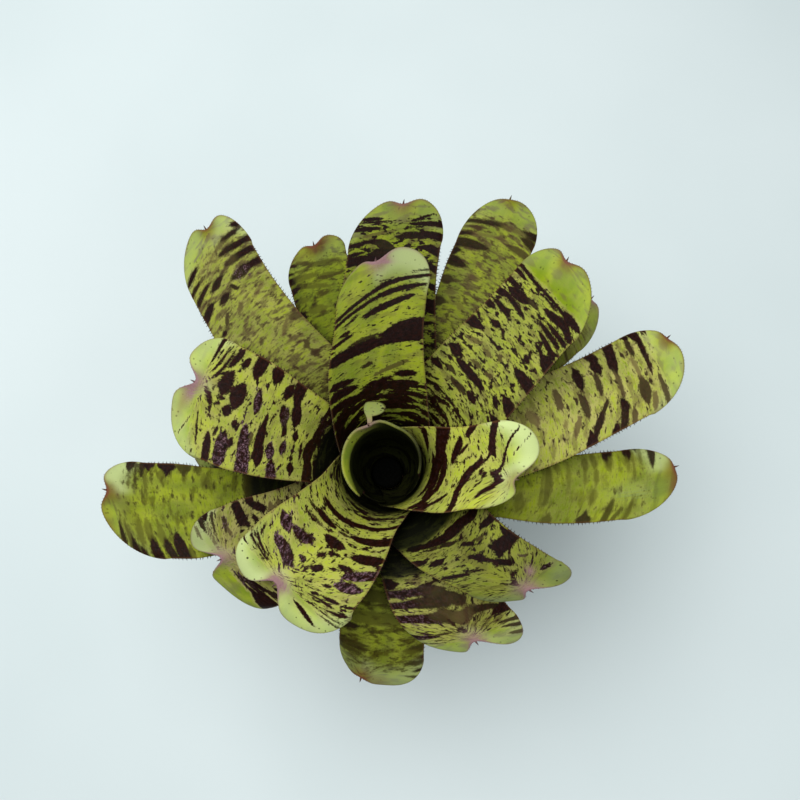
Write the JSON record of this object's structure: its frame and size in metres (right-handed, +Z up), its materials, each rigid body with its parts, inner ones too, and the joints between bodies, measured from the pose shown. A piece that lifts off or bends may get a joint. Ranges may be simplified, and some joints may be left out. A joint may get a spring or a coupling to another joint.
{
  "type": "potted neoregelia plant",
  "caption": "Bromeliad with a flat rosette of broad notched leaves, lime green with broken maroon bands, rooted in bark mix in a plain tapered nursery pot.",
  "frame": {"origin": "centre of the pot's flat underside", "axes": "+Z up along the pot's axis, +X to the right and +Y to the top of the picture, which looks down on the rosette"},
  "size_m": [0.2781, 0.2392, 0.1846],
  "materials": {
    "pot": "matt moulded nursery plastic, near black",
    "mix": "loose bark and peat, matt",
    "stem": "short woody stem, matt",
    "inner_leaf": "smooth waxy leaf, lime green with broken maroon bands",
    "outer_leaf": "smooth waxy leaf, olive green with hazy brown-purple bands"
  },
  "bodies": {
    "root": {"pot": "pot", "potting_mix": "mix", "stem": "stem", "leaf_01": "inner_leaf", "leaf_02": "inner_leaf", "leaf_03": "inner_leaf", "leaf_04": "inner_leaf", "leaf_05": "inner_leaf", "leaf_06": "inner_leaf", "leaf_07": "inner_leaf", "leaf_08": "inner_leaf", "leaf_09": "outer_leaf", "leaf_10": "outer_leaf", "leaf_11": "outer_leaf", "leaf_12": "outer_leaf", "leaf_13": "outer_leaf", "leaf_14": "outer_leaf", "leaf_15": "outer_leaf", "leaf_16": "outer_leaf", "leaf_17": "outer_leaf", "leaf_18": "outer_leaf", "leaf_19": "outer_leaf"}
  },
  "joints": []
}
